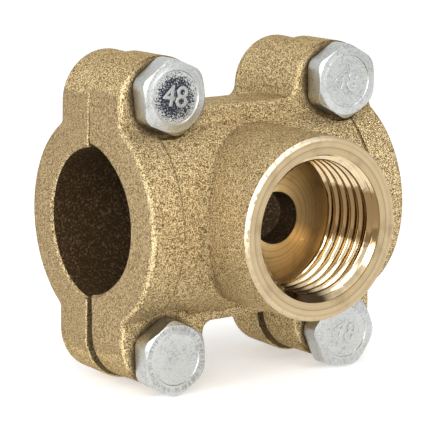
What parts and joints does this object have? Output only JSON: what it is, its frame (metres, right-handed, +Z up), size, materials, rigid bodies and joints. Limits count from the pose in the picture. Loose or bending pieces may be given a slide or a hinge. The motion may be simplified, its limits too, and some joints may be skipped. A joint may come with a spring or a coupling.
{
  "type": "tapping saddle",
  "caption": "Two-piece cast brass saddle that bolts round a pipe, with a short threaded branch socket and a drilled water way.",
  "frame": {"origin": "on the axis of the pipe, half way along the saddle", "axes": "+X along the pipe, -Y out of the threaded branch, +Z up, toward the upper pair of bolts"},
  "size_m": [0.0446, 0.0407, 0.0487],
  "materials": {
    "cast_brass": "sand cast, matt with a fine sparkling grain; socket machined bright",
    "seal_rubber": "matt black",
    "zinc_plated_steel": "zinc plated, pale grey satin"
  },
  "bodies": {
    "outlet_half": {"outlet_half": "cast_brass", "seal_ring": "seal_rubber"},
    "back_half": {"back_half": "cast_brass"},
    "bolt_upper_left": {"bolt_upper_left": "zinc_plated_steel"},
    "bolt_upper_right": {"bolt_upper_right": "zinc_plated_steel"},
    "bolt_lower_left": {"bolt_lower_left": "zinc_plated_steel"},
    "bolt_lower_right": {"bolt_lower_right": "zinc_plated_steel"}
  },
  "joints": [
    {"name": "bolt_upper_left_turn", "type": "hinge", "parent": "outlet_half", "child": "bolt_upper_left", "pos_m": [-0.01507, -0.00785, 0.01822], "axis": [0, -1, 0], "range_deg": [0, 3600]},
    {"name": "bolt_upper_right_turn", "type": "hinge", "parent": "outlet_half", "child": "bolt_upper_right", "pos_m": [0.01523, -0.00785, 0.01808], "axis": [0, -1, 0], "range_deg": [0, 3600]},
    {"name": "bolt_lower_left_turn", "type": "hinge", "parent": "outlet_half", "child": "bolt_lower_left", "pos_m": [-0.01523, -0.00785, -0.01908], "axis": [0, -1, 0], "range_deg": [0, 3600]},
    {"name": "bolt_lower_right_turn", "type": "hinge", "parent": "outlet_half", "child": "bolt_lower_right", "pos_m": [0.01507, -0.00785, -0.01922], "axis": [0, -1, 0], "range_deg": [0, 3600]},
    {"name": "back_half_slide", "type": "slide", "parent": "outlet_half", "child": "back_half", "axis": [0, 1, 0], "range_m": [0, 0.01]}
  ],
  "couplings": [
    {"joint": "bolt_upper_left_turn", "follows": "back_half_slide", "rad_per_m": 6283.2},
    {"joint": "bolt_upper_right_turn", "follows": "back_half_slide", "rad_per_m": 6283.2},
    {"joint": "bolt_lower_left_turn", "follows": "back_half_slide", "rad_per_m": 6283.2},
    {"joint": "bolt_lower_right_turn", "follows": "back_half_slide", "rad_per_m": 6283.2}
  ]
}
